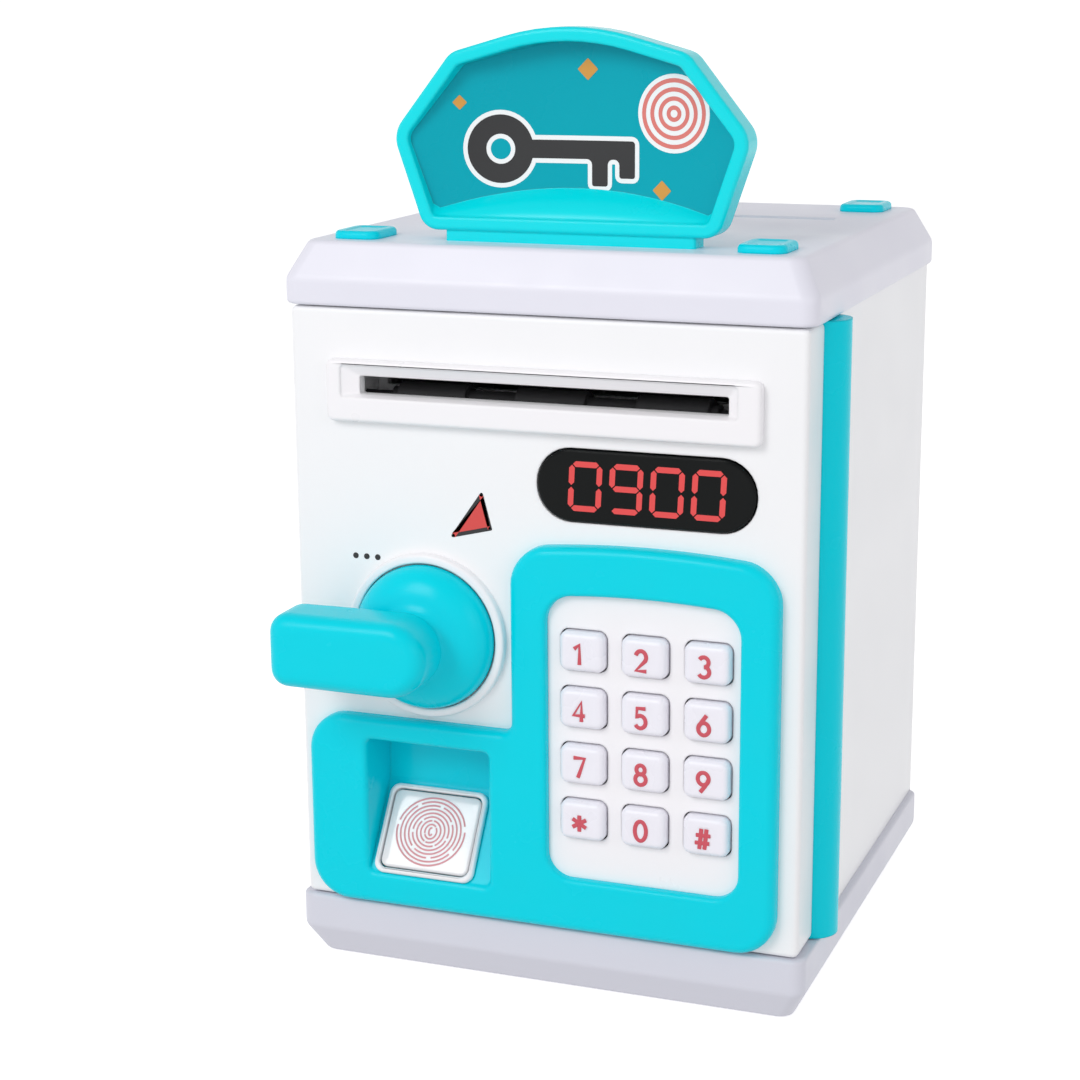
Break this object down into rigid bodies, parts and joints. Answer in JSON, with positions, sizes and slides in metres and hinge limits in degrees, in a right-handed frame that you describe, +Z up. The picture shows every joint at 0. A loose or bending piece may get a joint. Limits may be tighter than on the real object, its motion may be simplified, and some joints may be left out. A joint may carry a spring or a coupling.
{
  "type": "toy savings bank",
  "caption": "Toy cash-machine savings bank with a hinged front door, lever latch, number keypad, fingerprint button, powered note slot, coin slot and header sign.",
  "frame": {"origin": "middle of the base's underside, on the table", "axes": "+Z up, +X to the viewer's right when facing the door, +Y from the door to the back"},
  "size_m": [0.1382, 0.158, 0.238],
  "materials": {
    "white_shell": "semi-gloss moulded white",
    "grey_white_shell": "semi-gloss moulded pale grey",
    "white_trim": "smooth moulded white",
    "key_caps": "smooth translucent white",
    "print_pad": "clear-topped white with a pink printed pattern",
    "turquoise_plastic": "glossy moulded turquoise",
    "sign_plastic": "glossy moulded teal",
    "display_black": "smoked gloss window",
    "module_black": "matt black",
    "battery_sleeve": "printed sleeve",
    "steel": "zinc plated",
    "plated_can": "plated can",
    "plunger_iron": "turned",
    "rubber": "matt",
    "white_silicone": "matt moulded silicone",
    "speaker_cone": "paper cone in a pressed frame",
    "circuit_board": "solder mask"
  },
  "bodies": {
    "case": {"base_shell": "grey_white_shell", "bottom_plate": "grey_white_shell", "battery_box": "white_shell", "battery_contacts": "steel", "batteries": "battery_sleeve", "battery_cover": "grey_white_shell", "cover_screw": "steel", "base_screws": "steel", "cabinet": "white_shell", "door_keeper": "steel", "top_lid": "grey_white_shell", "lid_liner": "white_shell", "lid_screws": "steel", "header_sign": "sign_plastic", "coin_chute": "white_shell", "hinge_pins": "steel", "speaker": "speaker_cone", "lid_pad_front_left": "turquoise_plastic", "lid_pad_front_right": "turquoise_plastic", "lid_pad_back_left": "turquoise_plastic", "lid_pad_back_right": "turquoise_plastic"},
    "door": {"door_shell": "white_shell", "door_back": "white_shell", "hinge_barrel": "turquoise_plastic", "slot_bezel": "white_shell", "display_window": "display_black", "display_module": "module_black", "fascia": "turquoise_plastic", "keypad_plate": "white_trim", "key_membrane": "white_silicone", "control_board": "circuit_board", "fingerprint_frame": "white_trim", "knob_collar": "white_trim", "bolt_guide": "white_shell", "lock_solenoid": "plated_can", "roller_frame": "white_shell", "feed_motor": "plated_can", "door_screws": "steel"},
    "fingerprint_button": {"fingerprint_button": "print_pad"},
    "knob": {"door_knob": "turquoise_plastic", "knob_spindle": "steel", "latch_cam": "white_shell"},
    "latch_bolt": {"latch_bolt": "steel"},
    "solenoid_plunger": {"solenoid_plunger": "plunger_iron"},
    "feed_roller": {"feed_roller": "rubber", "feed_gear": "turquoise_plastic"},
    "pinch_roller": {"pinch_roller": "rubber"},
    "motor_pinion": {"motor_pinion": "steel"},
    "key_1": {"key_1": "key_caps"},
    "key_2": {"key_2": "key_caps"},
    "key_3": {"key_3": "key_caps"},
    "key_4": {"key_4": "key_caps"},
    "key_5": {"key_5": "key_caps"},
    "key_6": {"key_6": "key_caps"},
    "key_7": {"key_7": "key_caps"},
    "key_8": {"key_8": "key_caps"},
    "key_9": {"key_9": "key_caps"},
    "key_star": {"key_star": "key_caps"},
    "key_0": {"key_0": "key_caps"},
    "key_hash": {"key_hash": "key_caps"}
  },
  "joints": [
    {"name": "door_hinge", "type": "hinge", "parent": "case", "child": "door", "pos_m": [0.0642, -0.045, 0.0941], "axis": [0, 0, 1], "range_deg": [0, 110]},
    {"name": "knob_turn", "type": "hinge", "parent": "door", "child": "knob", "pos_m": [-0.0302, -0.065, 0.0902], "axis": [0, -1, 0], "range_deg": [0, 90]},
    {"name": "bolt_slide", "type": "slide", "parent": "door", "child": "latch_bolt", "axis": [-1, 0, 0], "range_m": [0, 0.006]},
    {"name": "plunger_slide", "type": "slide", "parent": "door", "child": "solenoid_plunger", "axis": [0, 0, 1], "range_m": [0, 0.0025], "stiffness_N_per_m": 60, "springref_m": -0.001},
    {"name": "fingerprint_press", "type": "slide", "parent": "door", "child": "fingerprint_button", "axis": [0, 0.8271, -0.5621], "range_m": [0, 0.0012], "stiffness_N_per_m": 300, "springref_m": -0.0004},
    {"name": "feed_roller_spin", "type": "hinge", "parent": "door", "child": "feed_roller", "pos_m": [0, -0.055, 0.148], "axis": [1, 0, 0], "continuous": true},
    {"name": "pinch_roller_spin", "type": "hinge", "parent": "door", "child": "pinch_roller", "pos_m": [0, -0.055, 0.1568], "axis": [1, 0, 0], "continuous": true},
    {"name": "motor_pinion_spin", "type": "hinge", "parent": "door", "child": "motor_pinion", "pos_m": [0, -0.055, 0.138], "axis": [1, 0, 0], "continuous": true},
    {"name": "key_1_press", "type": "slide", "parent": "door", "child": "key_1", "axis": [0, 1, 0], "range_m": [0, 0.0015], "stiffness_N_per_m": 250, "springref_m": -0.0004},
    {"name": "key_2_press", "type": "slide", "parent": "door", "child": "key_2", "axis": [0, 1, 0], "range_m": [0, 0.0015], "stiffness_N_per_m": 250, "springref_m": -0.0004},
    {"name": "key_3_press", "type": "slide", "parent": "door", "child": "key_3", "axis": [0, 1, 0], "range_m": [0, 0.0015], "stiffness_N_per_m": 250, "springref_m": -0.0004},
    {"name": "key_4_press", "type": "slide", "parent": "door", "child": "key_4", "axis": [0, 1, 0], "range_m": [0, 0.0015], "stiffness_N_per_m": 250, "springref_m": -0.0004},
    {"name": "key_5_press", "type": "slide", "parent": "door", "child": "key_5", "axis": [0, 1, 0], "range_m": [0, 0.0015], "stiffness_N_per_m": 250, "springref_m": -0.0004},
    {"name": "key_6_press", "type": "slide", "parent": "door", "child": "key_6", "axis": [0, 1, 0], "range_m": [0, 0.0015], "stiffness_N_per_m": 250, "springref_m": -0.0004},
    {"name": "key_7_press", "type": "slide", "parent": "door", "child": "key_7", "axis": [0, 1, 0], "range_m": [0, 0.0015], "stiffness_N_per_m": 250, "springref_m": -0.0004},
    {"name": "key_8_press", "type": "slide", "parent": "door", "child": "key_8", "axis": [0, 1, 0], "range_m": [0, 0.0015], "stiffness_N_per_m": 250, "springref_m": -0.0004},
    {"name": "key_9_press", "type": "slide", "parent": "door", "child": "key_9", "axis": [0, 1, 0], "range_m": [0, 0.0015], "stiffness_N_per_m": 250, "springref_m": -0.0004},
    {"name": "key_star_press", "type": "slide", "parent": "door", "child": "key_star", "axis": [0, 1, 0], "range_m": [0, 0.0015], "stiffness_N_per_m": 250, "springref_m": -0.0004},
    {"name": "key_0_press", "type": "slide", "parent": "door", "child": "key_0", "axis": [0, 1, 0], "range_m": [0, 0.0015], "stiffness_N_per_m": 250, "springref_m": -0.0004},
    {"name": "key_hash_press", "type": "slide", "parent": "door", "child": "key_hash", "axis": [0, 1, 0], "range_m": [0, 0.0015], "stiffness_N_per_m": 250, "springref_m": -0.0004}
  ],
  "couplings": [
    {"joint": "bolt_slide", "follows": "knob_turn", "m_per_rad": 0.0038197},
    {"joint": "pinch_roller_spin", "follows": "feed_roller_spin", "ratio": -1},
    {"joint": "motor_pinion_spin", "follows": "feed_roller_spin", "ratio": -1.5}
  ]
}
